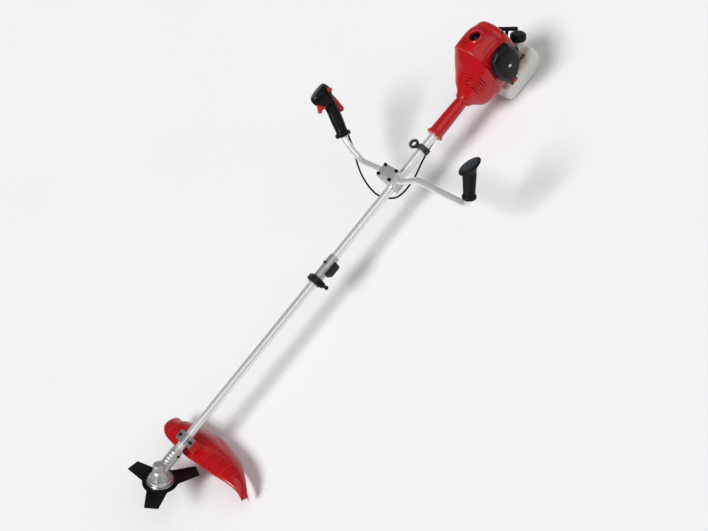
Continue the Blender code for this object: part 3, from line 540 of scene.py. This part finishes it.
def engine_cowl():
    """Hollow shell with its vents, ribs, seam and plug recess."""
    stations = spline(COWL_STATIONS, 6)
    outer = [[(x, y, z) for y, z in cowl_ring(*sides)] for x, *sides in stations]
    inner = [[(x, y, z) for y, z in cowl_ring(*sides, COWL_WALL)] for x, *sides in stations]
    plain = skin(outer)
    bmesh.ops.recalc_face_normals(plain, faces=plain.faces)
    mesh = finish_mesh("cowl_guide", plain, IN_MACHINE)
    tree = BVHTree.FromPolygons([v.co.copy() for v in mesh.vertices], [tuple(p.vertices) for p in mesh.polygons])
    bpy.data.meshes.remove(mesh)
    tools = []
    for mirror in (1, -1):
        for row in range(5):
            t = row / 4
            start = between((200, -57, 68), (172, -36, 46), t)
            end = between((203, -70, 41), (173, -52, 22), t)
            start.y *= mirror
            end.y *= mirror
            tools.append(slot_tool(tree, start, end, 3.2))
    for row in range(4):
        t = row / 3
        left = between((187, -7, 81), (168, -12, 55), t)
        right = between((194, -40, 77), (174, -30, 53), t)
        for dash in range(3):
            start = left.lerp(right, dash / 3 + 0.04)
            end = left.lerp(right, dash / 3 + 0.24)
            tools.append(slot_tool(tree, start, end, 2.6))
    for row in range(4):
        for column in range(3):
            spot = (250 + 5.5 * row, 14 + 9 * column, 133)
            tools.append(slot_tool(tree, spot, (spot[0], spot[1] + 5, 133), 2.4))
    recess = bar((288, 5, 100), (288, 5, 145), 17, 48)
    made = add("cowl_shell", skin(outer + inner[::-1], True), "red_plastic", "machine", nodes=["engine_cowl"],
               sharp=28, cuts=[recess, merged(tools)])
    ribs = (
        [(248, -26, 126), (290, -25, 126), (328, -24, 118)], [(254, -41, 112), (294, -39, 112), (330, -38, 104)],
        [(260, -54, 97), (296, -52, 96), (330, -50, 88)],
    )
    for index, route in enumerate(ribs):
        strip(f"cowl_rib_{index}", tree, route, 4.5, 2.0, "red_plastic", "machine")
    seam = [(246, -63, 68), (236, -72, 45), (220, -74, 15), (196, -68, -12), (186, -58, -36)]
    # The seam ridge is coloured with the darker red as painted shade along the seam.
    strip("cowl_seam", tree, seam, 1.6, 0.5, "red_painted_shade", "machine", 12)
    shoulder = [(239, -58, 96), (240, -38, 115), (241, -10, 129), (241, 25, 130), (239, 52, 118)]
    strip("cowl_shoulder", tree, shoulder, 7.0, 1.4, "red_plastic", "machine", 12)
    rim = turned([(17, -4), (27, -3), (26, 0), (21.5, 4.6), (19, 5.8), (17.4, 5.2), (17, 3)], 56, True)
    add("plug_recess_rim", rim, "red_plastic", "machine", frame_at((288, 5, 132.6)), 0.3)
    for index, foot in enumerate(((266, 282), (316, 330))):
        add(f"cowl_foot_{index}", slab(foot, (-22, 22), (-64.6, -50.0)), "red_plastic", "machine", bevel=1.5)
    boot = [(0, 100), (10.3, 100), (10.3, 104)]
    for band in range(4):
        z = 105 + band * 5.5
        boot += [(9.6, z), (10.9, z + 1.2), (10.9, z + 3.4), (9.6, z + 4.6)]
    boot += [(10.4, 128), (9.2, 134), (6, 137), (0, 137.5)]
    add("plug_cap", turned(boot, 40), "black_rubber", "machine", frame_at((286, 0, 0)),
        nodes=["spark_plug_boot"], sharp=45)
    lead = [(286, 4, 121), (288, 12, 121), (291, 20, 118), (294, 30, 108), (296, 36, 92)]
    rings = tube_rings(resampled(spline(lead, 8), 2), (3.4,), (0.3, 0.1, 0.9), 16)
    add("plug_lead", skin(rings), "black_rubber", "machine", sharp=60)


def starter_cover():
    """Rear cover with a ring of air slots and the guide the rope runs through."""
    walls = ((332.4, 0), (344, 2), (351, 6), (356, 11), (359, 18), (355, 18), (352, 13), (344, 5), (333.4, 3))
    shell = skin([[(x, y, z) for y, z in cowl_ring(*STARTER_SIDES, wall)] for x, wall in walls])
    cuts = []
    for step in range(14):
        angle = step * math.tau / 14
        start = (358, 5 + 32 * math.cos(angle), 32 + 38 * math.sin(angle))
        end = (358, 5 + 44 * math.cos(angle), 32 + 54 * math.sin(angle))
        cuts.append(bar(start, end, 2.2, 12))
    add("starter_cover", shell, "red_plastic", "machine", nodes=["starter_housing"], sharp=28, cuts=[merged(cuts)])
    boss = turned([(2.6, -8), (8.5, -8), (8, 4), (6.5, 9.4), (2.6, 9.4)], 32, True)
    add("rope_guide", boss, "black_plastic", "machine", frame_at((360, 0, 13.2), axes(PULL, (0, 1, 0))), 0.4)
    for index, (y, z) in enumerate(((-40, -26), (46, -26), (-34, 96), (40, 96))):
        hex_screw(f"starter_screw_{index}", (348, y * 1.02, z), (1, 0, 0), 3.2, "machine", height=7)


engine_cowl()
starter_cover()


# Air filter, tank, cap and handle ----------------------------------------------

FILTER_OUTLINE = (
    (262, -24), (302, -22), (334, 8), (342, 30), (340, 72), (324, 102), (284, 106), (254, 92), (245, 62), (245, 20),
)


def inset(outline, distance):
    """Outline moved inwards by a distance."""
    moved = []
    for index, here in enumerate(outline):
        here = Vector(here)
        first = (here - Vector(outline[index - 1])).normalized()
        second = (Vector(outline[(index + 1) % len(outline)]) - here).normalized()
        inward = Vector((-first.y - second.y, first.x + second.x)).normalized()
        share = max(0.4, inward.dot(Vector((-first.y, first.x))))
        moved.append(tuple(here + inward * distance / share))
    return moved


def filter_rings(walls):
    return [[(x, y, z) for x, z in inset(FILTER_OUTLINE, wall)] for wall, y in walls]


def air_filter():
    """Faceted cover with a raised face, a plain mark and a clip."""
    shell = ((0, -70.3), (0, -79), (1.5, -82), (10, -90.5), (13, -92.4), (13, -88), (4, -82), (3, -70.3))
    add("filter_shell", skin(filter_rings(shell), True, False), "black_plastic", "filter_cover", bevel=1.6,
        nodes=["air_filter_cover"])
    face = ((12.8, -88.2), (12.8, -92.3), (15, -93.0))
    add("filter_face", skin(filter_rings(face)), "black_plastic", "filter_cover", bevel=0.7)
    ridge = ((21, -92.4), (21, -93.3), (23, -93.3), (23, -92.4))
    add("filter_ridge", skin(filter_rings(ridge), True), "black_plastic", "filter_cover", bevel=0.2)
    middle = Vector((290, -93.0, 42))
    square = [(-13, -13), (13, -13), (13, 13), (-13, 13)]
    tilt = frame_at(middle, axes((0, -1, 0), (0.94, 0, 0.34)))
    border = [[(x * s, y * s, h) for x, y in square] for s, h in ((1, -0.4), (1, 0.3), (0.86, 0.3), (0.86, -0.4))]
    add("emblem_border", skin(border, True), "grey_panel", "filter_cover", tilt)
    add("emblem_mark", turned([(6.5, -0.4), (6.5, 0.3)], 4), "emblem_white", "filter_cover", tilt)
    clip = [(-2, -9), (5, -9), (7, -6), (7, 6), (5, 9), (-2, 9)]
    add("filter_clip", prism(clip, -1, 9), "black_plastic", "filter_cover",
        frame_at((340, -72, 48), axes((0, -1, 0), (1, 0, 0))), 0.8)


TANK_OUTLINE = (
    (266, -135), (372, -135), (396, -124), (411, -104), (416, -80), (411, -58), (399, -40), (378, -46),
    (369, -60), (356, -66), (280, -65), (258, -72), (250, -88), (250, -118),
)
TANK_FLAT = -131  # below this the seam lies flush, so that the tank stands flat
SEAM_LOWEST = -134.7


def fuel_tank():
    """Blow-moulded tank: body and neck remeshed together so that they flow into each other."""
    rings = []
    for y, wall in ((-50, 12), (-47, 5), (-40, 0), (40, 0), (47, 5), (50, 12)):
        rings.append([(x, y, z) for x, z in inset(TANK_OUTLINE, wall)])
    mouth = Vector((402, 0, -19))
    neck = bar(mouth - CAP_AXIS * 36, mouth + CAP_AXIS * 8, 18, 32)
    made = add("tank_body", merged([skin(rings), neck]), "tank_plastic", "machine", nodes=["fuel_tank"], sharp=180)
    remesh = made.modifiers.new("melt", "REMESH")
    remesh.mode = "VOXEL"
    remesh.voxel_size = 0.0024
    remesh.use_smooth_shade = True
    smooth = made.modifiers.new("flow", "SMOOTH")
    smooth.factor = 0.5
    smooth.iterations = 9
    settle(made)
    made.data.materials.clear()
    made.data.materials.append(LOOKS["tank_plastic"])
    made.data.shade_smooth()
    mesh = made.data
    for vertex in mesh.vertices:
        vertex.co.z = max(vertex.co.z, 0.0)
    route = spline(TANK_OUTLINE, 5, True)
    rings = []
    for index, (x, z) in enumerate(route):
        before = Vector(route[index - 1])
        after = Vector(route[(index + 1) % len(route)])
        heading = (after - before).normalized()
        out = Vector((heading.y, -heading.x))
        if z < TANK_FLAT:
            out = Vector((0, 0))
        ring = []
        for across, proud in ((-1.2, -1.5), (-1.2, 0.2), (0, 0.9), (1.2, 0.2), (1.2, -1.5)):
            ring.append((x + out.x * proud, across, max(SEAM_LOWEST, z + out.y * proud)))
        rings.append(ring)
    add("tank_seam", skin(rings, True), "tank_plastic", "machine", sharp=60)


def fuel_cap():
    lobed = [[(0, 0, 17.4)], circle(15, 96, 17.4), circle(21.2, 96, 17.0), circle(23.7, 96, 14.5, 24, 0.5),
             circle(24.1, 96, 11, 24, 0.9), circle(24.1, 96, 0, 24, 0.9), circle(23.7, 96, -2.6, 24, 0.3),
             circle(18.6, 96, -2.6), circle(18.6, 96, 8.6), [(0, 0, 8.6)]]
    add("tank_cap_body", skin(lobed), "black_plastic", "tank_cap", IN_CAP, nodes=["fuel_cap"], sharp=50)
    grip = turned([(11, 16.9), (13.6, 16.9), (13.6, 17.45), (11, 17.45)], 48, True)
    add("tank_cap_ring", grip, "black_plastic", "tank_cap", IN_CAP, sharp=50)


PULL_SECTIONS = (
    (-33, 3.5, 3.5), (-32, 6, 5.6), (-24, 7.3, 6.6), (-8, 6.6, 6.2), (0, 7, 6.6), (8, 6.6, 6.2),
    (24, 7.3, 6.6), (32, 6, 5.6), (33, 3.5, 3.5),
)
PULL_HEIGHT = 35


def pull_handle():
    """Cross bar on a stem, and the rope that pays out behind it."""
    rings = []
    for x, a, b in PULL_SECTIONS:
        turns = [step * math.tau / 28 for step in range(28)]
        rings.append([(x, a * math.cos(turn), PULL_HEIGHT + b * math.sin(turn)) for turn in turns])
    add("pull_bar", skin(rings), "black_plastic", "pull_handle", IN_PULL, 0.4, nodes=["starter_handle"])
    stem = [(2.2, 0.3), (6.4, 0.3), (6.2, 4), (4.8, 8), (5, 22), (6.2, 31), (2.2, 31)]
    add("pull_stem", turned(stem, 32, True), "black_plastic", "pull_handle", IN_PULL, 0.3)
    rings = []
    for step in range(41):
        t = step / 40
        rings.append(circle(1.7, 12, -22 + 44 * t, 3, 0.15))
    made = bpy.data.objects.new("pull_rope", finish_mesh("pull_rope", skin(rings), IN_PULL))
    bpy.context.scene.collection.objects.link(made)
    made.data.materials.append(LOOKS["black_rubber"])
    made.data.shade_smooth()
    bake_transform(made)


air_filter()
fuel_tank()
fuel_cap()
pull_handle()


# Grips ------------------------------------------------------------------------

def rear_grip():
    profile = [(13.3, 2), (24.4, 2), (26.6, 3.2), (27, 6.5), (26.6, 9), (24, 12)]
    profile += [(22.8, 15), (22.4, 20), (22.2, 40), (21.6, 70), (20.9, 100), (20.0, 126), (19.6, 130)]
    profile += [(19.0, 131), (19.0, 133), (19.6, 134), (19.5, 136), (13.3, 136)]
    add("rear_grip_sleeve", turned(profile, 64, True), "red_plastic", "machine", IN_SHAFT,
        nodes=["rear_grip"], sharp=50)


CAP_SLOPE = 0.65
CAP_LEAN = (-0.763, 0.644)


def slanted(bm):
    """Shear the end disc of the left grip as the solid has it."""
    for vertex in bm.verts:
        x, y, z = vertex.co
        if math.hypot(x, y) > 11.3 or z > 96:
            share = max(0.0, min(1.0, (z - 80) / 8))
            vertex.co.z -= share * CAP_SLOPE * (CAP_LEAN[0] * x + CAP_LEAN[1] * y)
    return bm


def left_grip():
    profile = [(0, 94.8), (10.3, 94.8), (10.3, 0), (17, 0), (20, 1), (21, 4), (21, 8), (19, 12)]
    for band in range(11):
        z = 15 + band * 6
        radius = 17.2 + band * 0.28
        profile += [(radius - 1.0, z - 2), (radius, z - 0.8), (radius, z + 1.8), (radius - 1.0, z + 3)]
    profile += [(20.5, 88), (24.5, 92), (28.5, 96.5), (30.5, 100), (30.6, 103), (29.2, 105.8), (26, 107),
                (24.6, 106.2), (0, 106.2)]
    add("left_grip_sleeve", slanted(turned(profile, 64)), "black_rubber", "machine", IN_LEFT_GRIP,
        nodes=["left_grip"], sharp=45)
    face = slanted(turned([(0, 105.6), (24.2, 105.6), (24.0, 106.6), (22.0, 107.1), (0, 107.2)], 56))
    add("left_grip_face", face, "grey_panel", "machine", IN_LEFT_GRIP, sharp=50)


GRIP_SECTIONS = (
    (0, -6, 21, 21, 0), (0, -3, 24, 24, 0), (0, 7, 24, 24, 0), (0, 12, 18, 17.5, 0), (0, 45, 20, 17.5, 0),
    (1, 78, 19.5, 17, 0), (3, 100, 21, 18, 12), (9, 116, 29, 22, 26), (15, 129, 37, 26, 30),
    (24, 143.4, 37.2, 26.3, 30), (28, 151.3, 32.2, 21.5, 30),
)


def right_grip():
    """Two half shells with openings for the trigger, lock and switch."""
    for name, side in (("inner", 1), ("outer", -1)):
        rings = []
        for centre_x, centre_z, half_x, half_y, tilt in spline(GRIP_SECTIONS, 5):
            lean = math.radians(tilt)
            ring = []
            for step in range(56):
                angle = step * math.tau / 56
                x, y = math.cos(angle), math.sin(angle)
                x *= half_x
                ring.append((centre_x + x * math.cos(lean), y * half_y, centre_z - x * math.sin(lean)))
            rings.append(ring)
        away = sorted((side * 0.15, -side * 60))
        cuts = [slab((-80, 90), away, (-40, 200)), bar((0, 0, -20), (0, 0, 95), 10.3, 32),
                slab((10.8, 70), (-5.5, 5.5), (79, 124)), slab((-60, -10.8), (-5.5, 5.5), (58, 126))]
        if side > 0:
            cuts.append(slab((-8, 12), (19.5, 40), (134, 147)))
        add(f"right_grip_{name}_shell", skin(rings), "black_plastic", "machine", IN_RIGHT_GRIP,
            nodes=[f"right_grip_{name}"], sharp=35, cuts=cuts)
    face = []
    for size, lift in ((0.80, -1), (0.80, 0.7), (0.74, 1.1)):
        lean = math.radians(30)
        ring = []
        for step in range(56):
            angle = step * math.tau / 56
            x, y = math.cos(angle) * 33 * size, math.sin(angle) * 22 * size
            ring.append((28 + x * math.cos(lean) + lift * math.sin(lean), y,
                         151.3 - x * math.sin(lean) + lift * math.cos(lean)))
        face.append(ring)
    add("right_grip_face", skin(face), "grey_panel", "machine", IN_RIGHT_GRIP)
    for band in range(7):
        z = 22 + band * 8
        rings = []
        half_x = 18.4 + band * 0.25
        for angle in [math.radians(a) for a in range(20, 161, 10)]:
            spot = Vector((half_x * math.cos(angle), (17.7 + 0.02 * band) * math.sin(angle), z))
            out = Vector((math.cos(angle), math.sin(angle), 0))
            ring = []
            for step in range(8):
                turn = step * math.tau / 8
                ring.append(spot + out * 0.7 * math.cos(turn) + Vector((0, 0, 1.3 * math.sin(turn))))
            rings.append(ring)
        add(f"right_grip_rib_{band}", skin(rings), "black_plastic", "machine", IN_RIGHT_GRIP, sharp=60)
    for index, (x, z) in enumerate(((3, 30), (2, 70), (12, 122))):
        depth = 17.2 if z < 100 else 23.0
        hex_screw(f"right_grip_screw_{index}", (x, depth, z), (0, 1, 0), 2.0, "machine", IN_RIGHT_GRIP, 1.4)


rear_grip()
left_grip()
right_grip()


# Head, guard and coupling -------------------------------------------------------

GUARD_STATIONS = (
    (146, 126, 156, 3, 50), (138, 112, 165, 8, 44), (120, 100, 166, 12, 34), (104, 94, 177, 15, 22),
    (86, 91, 186, 17, 16), (50, 89, 192, 19, 15.2), (20, 88, 200, 20, 15.2), (-15, 88, 206, 20, 15.2),
    (-59, 94, 203, 20, 15.2), (-97, 98, 198, 19, 15.2), (-128, 102, 193, 17, 15.2),
    (-155, 108, 184, 15, 15), (-180, 114, 173, 12, 14), (-203, 120, 161, 8, 12),
    (-222, 123, 150, 4, 8), (-236, 122, 143, -4, 4),
)


GUARD_TOP, GUARD_DROP, GUARD_REACH = 60, 38, 236


def guard_row(lateral, front, rear, rise, low):
    """Section of the guard at one lateral place; its far end hangs lower."""
    base = GUARD_TOP - GUARD_DROP * (abs(lateral) / GUARD_REACH) ** 8
    row = [(front - 1, base - 7), (front, base)]
    for part in (0.25, 0.5, 0.75):
        row.append((front + (rear - front) * part, base + rise * math.sin(math.pi * part) ** 0.7))
    row += [(rear - 2, base + 1), (rear + 1, base - 8), (rear + 2, (base + low) / 2 - 4), (rear + 2.5, low)]
    return [(x, lateral, z) for x, z in spline(row, 4)]


def debris_guard():
    bm = bmesh.new()
    rows = [[bm.verts.new(p) for p in guard_row(*s)] for s in spline(GUARD_STATIONS, 5)]
    for first, second in zip(rows, rows[1:]):
        for step in range(len(first) - 1):
            bm.faces.new((first[step], first[step + 1], second[step + 1], second[step]))
    made = add("guard_shell", bm, "red_plastic", "lower_unit", IN_GUARD, nodes=["debris_guard"], sharp=60)
    up = IN_GUARD.to_3x3() @ Vector((0, 0, 1))
    if made.data.polygons[40].normal.dot(up) < 0:
        made.data.flip_normals()
    wall = made.modifiers.new("wall", "SOLIDIFY")
    wall.thickness = 3 * MM
    wall.offset = -1.0
    settle(made)
    tree = tree_of(made)
    pad = slab((97, 137), (-36, 36), (62, 79.7))
    add("guard_pad", pad, "red_plastic", "lower_unit", IN_GUARD, 2.0)
    for index, lateral in enumerate((-72, -110, -148, -186, 62, 100)):
        route = []
        for x, z in ((104, 72), (125, 82), (150, 84), (172, 80)):
            shrink = 1.0 - 0.25 * max(0.0, (abs(lateral) - 110) / 110)
            route.append(IN_GUARD @ Vector((110 + (x - 110) * shrink, lateral, z)))
        strip(f"guard_rib_{index}", tree, route, 4.0, 1.3, "red_plastic", "lower_unit")


def gear_head():
    bowl = [(0, 11), (6, 11), (13, 8), (18.2, 2), (18.2, -25.8), (36, -25.8), (37, -24.4), (37, -22.6)]
    bowl += [(35.6, -20.8), (30, -19.4), (28, -18.2), (26.6, -14), (25, -10), (23.4, -3), (21.5, 3), (19, 8)]
    for fin in range(4):
        z = 10 + fin * 4.4
        bowl += [(16.4, z), (18.0, z + 0.8), (18.0, z + 2.6), (16.4, z + 3.4)]
    bowl += [(17.0, 28), (15.6, 31), (12, 32.6), (11, 32.0), (6, 33.2), (0, 33.5)]
    throat = bar((HEAD_X + 5, 0, 0), (HEAD_X + 95, 0, 0), 13.3, 40)
    bmesh.ops.transform(throat, matrix=IN_HEAD.inverted(), verts=throat.verts)
    add("gear_bowl", turned(bowl, 56), "cast_aluminium", "lower_unit", IN_HEAD, nodes=["gear_case"], sharp=40,
        cuts=[throat])
    x = HEAD_X + 14
    sleeve = [(13.3, x), (18, x), (18.2, x + 6)]
    for ring in range(5):
        start = HEAD_X + 28 + ring * 10
        sleeve += [(17.2, start), (18.3, start + 1.5), (18.3, start + 4), (17.2, start + 5.5)]
    sleeve += [(16.8, HEAD_X + 80), (16.6, HEAD_X + 87), (13.3, HEAD_X + 87)]
    add("gear_neck", turned(sleeve, 48, True), "cast_aluminium", "lower_unit", IN_SHAFT, sharp=40)
    for index, angle in enumerate((40, 90, 140, 220, 270, 320)):
        turn = math.radians(angle)
        out = Vector((math.cos(turn), math.sin(turn), 0))
        fin = prism([(20, -19), (34, -20.5), (31, -15), (25.5, -4), (20, 6)], -1.3, 1.3)
        up = Vector((0, 0, 1))
        place = IN_HEAD @ frame_at((0, 0, 0), Matrix((out, up, out.cross(up))).transposed())
        add(f"gear_fin_{index}", fin, "cast_aluminium", "lower_unit", place, 0.7)
    for name, side, size in (("left", -1, 3.4), ("right", 1, 2.7)):
        hex_screw(f"gear_screw_{name}", (HEAD_X + 69, side * 16.5, 0), (0, side, 0), size, "lower_unit", height=6)
    for name, side in (("left", -1), ("right", 1)):
        hex_screw(f"guard_bolt_{name}", (HEAD_X + 121, side * 25, 4.6), (0, 0, 1), 4.0, "lower_unit", height=4.5)
    top = -33.9
    disc = [(5.3, top), (40, top), (41, top + 1.2), (40.6, top + 2.6), (38.5, top + 3.4), (37.6, top + 4.8),
            (35, top + 4.8), (34, top + 5.8), (31.5, top + 6.0), (30.6, top + 7.3), (5.3, top + 7.3)]
    add("flange_disc", turned(disc, 72, True), "bare_steel", "blade", IN_HEAD, nodes=["blade_flange"], sharp=30)


def cutting_blade():
    outline = []
    for arm in range(3):
        middle = 102.5 + 120 * arm
        points = [(56, -33), (112, -11), (115, -10), (115, 10), (112, 11), (56, 33)]
        points += [(54, a) for a in (38, 45, 52, 60, 68, 75, 82)]
        for radius, offset in points:
            angle = math.radians(middle + offset)
            outline.append((radius * math.cos(angle), radius * math.sin(angle)))
    low = BLADE_Z - 0.8
    bore = bar((0, 0, low - 5), (0, 0, low + 8), 5.3, 24)
    add("blade_plate", prism(outline, low, low + 1.6), "black_steel", "blade", IN_HEAD, 0.35,
        nodes=["cutting_blade"], cuts=[bore])


def coupling():
    front, rear = -575.0, -470.0
    sleeve = [(13.3, front), (17.4, front), (17.6, front + 6), (16.4, front + 8), (16.4, front + 28)]
    for band in range(6):
        x = front + 31 + band * 5
        sleeve += [(16.4, x), (15.4, x + 0.8), (15.4, x + 2.2), (16.4, x + 3)]
    sleeve += [(16.4, rear - 10), (15.6, rear - 8), (15.6, rear - 0.6), (15.0, rear), (13.3, rear)]
    add("coupling_barrel", turned(sleeve, 56, True), "cast_aluminium", "machine", IN_SHAFT,
        nodes=["coupling_sleeve"], sharp=35)
    for node in ("coupling_collar", "coupling_cover"):
        soften(frame["nodes"][node], 1.0)
    seat = frame_at((front + 14, -31.3, -1), axes((0, -1, 0), (1, 0, 0)))
    knob = [circle(2.5, 60, -6.5), circle(2.5, 60, 8), circle(5, 60, 9.5, 5, 0.3), circle(6.0, 60, 13, 5, 0.6),
            circle(6.2, 60, 18, 5, 0.6), circle(5, 60, 21.4, 5, 0.3), circle(2.2, 60, 23), [(0, 0, 23.2)]]
    add("knob_body", skin(knob), "black_plastic", "knob", seat, nodes=["coupling_knob"], sharp=50)


def clamp_bolts():
    names = iter(("front_left", "front_right", "rear_left", "rear_right"))
    for x in (-199, -165):
        for y in (-24, 24):
            name = next(names)
            add(f"clamp_shank_{name}", turned([(2.5, 18), (2.5, 59.5)], 20), "black_steel", "machine",
                frame_at((x, y, 0)), 0.2, nodes=[f"bar_bolt_{name}"])
            hex_screw(f"clamp_head_{name}", (x, y, 59.3), (0, 0, 1), 4.2, "machine", height=4.8)


debris_guard()
gear_head()
cutting_blade()
coupling()
clamp_bolts()
